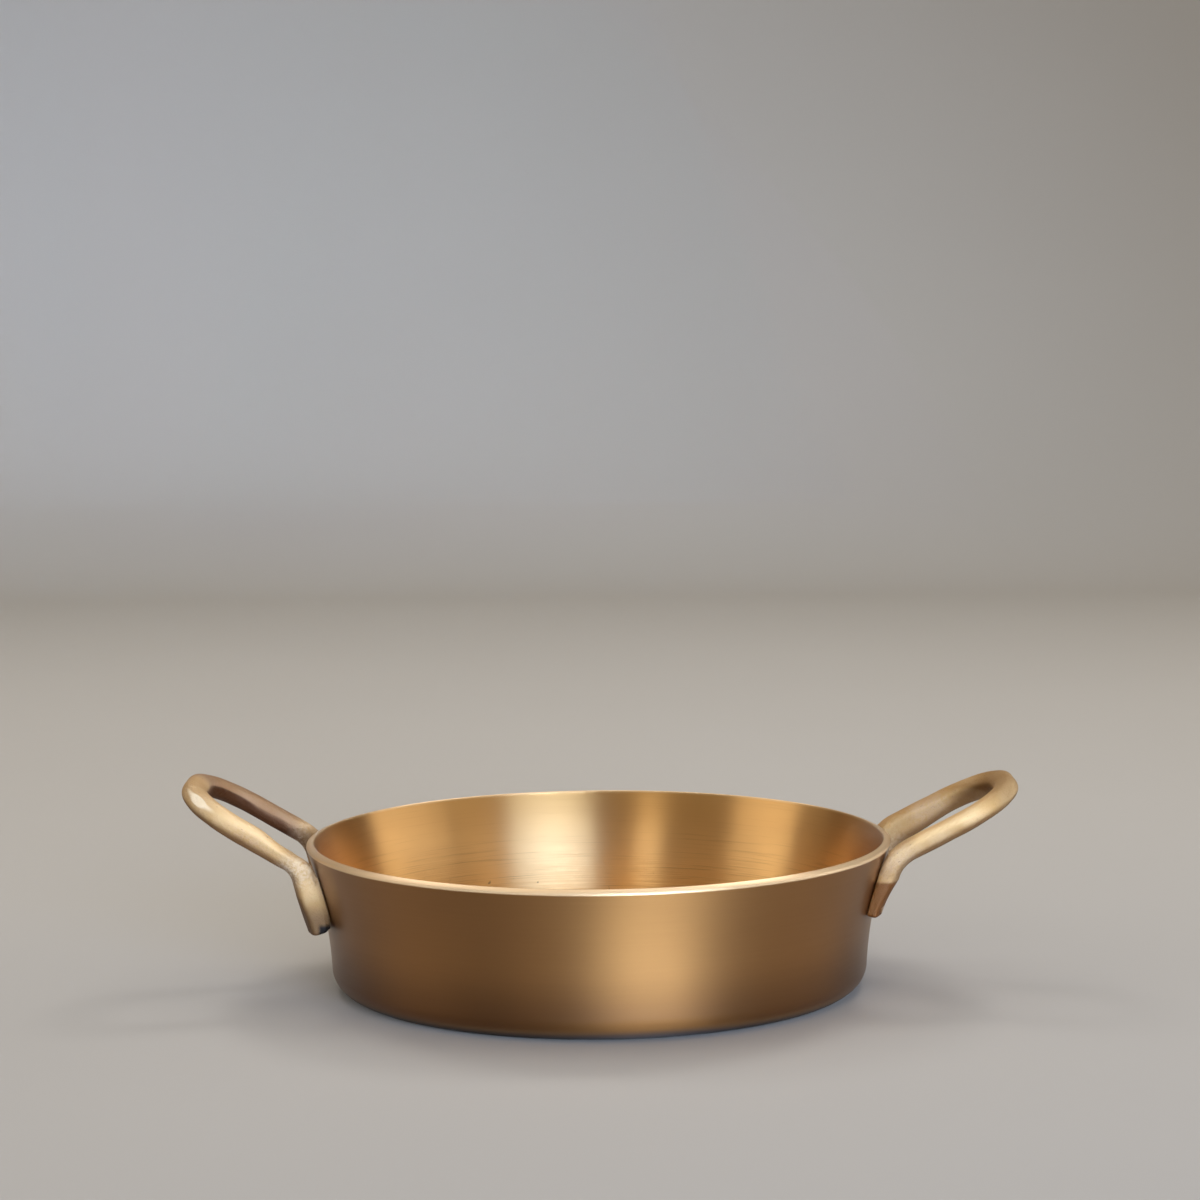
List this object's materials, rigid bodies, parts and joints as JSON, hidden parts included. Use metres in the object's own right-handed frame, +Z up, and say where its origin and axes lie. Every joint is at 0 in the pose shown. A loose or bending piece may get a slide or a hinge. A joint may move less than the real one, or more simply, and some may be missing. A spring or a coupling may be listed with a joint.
{
  "type": "two-handled pan",
  "caption": "Shallow round bronze pan with a flared wall, rounded lip and flat base, lifted by cast loop handles riveted to opposite sides.",
  "frame": {"origin": "middle of the flat base, on the surface the pan stands on", "axes": "+Z up through the mouth of the pan, +X towards the right handle, -Y towards the viewer of the picture"},
  "size_m": [0.2838, 0.199, 0.0725],
  "materials": {
    "turned_bronze": "lathe-turned inside, satin outside",
    "cast_bronze": "cast, tumbled, slightly rough",
    "rivet_bronze": "hammered and dressed smooth"
  },
  "bodies": {
    "root": {"pan_body": "turned_bronze", "handle_left": "cast_bronze", "handle_right": "cast_bronze", "rivet_left_front": "rivet_bronze", "rivet_left_rear": "rivet_bronze", "rivet_right_front": "rivet_bronze", "rivet_right_rear": "rivet_bronze"}
  },
  "joints": []
}
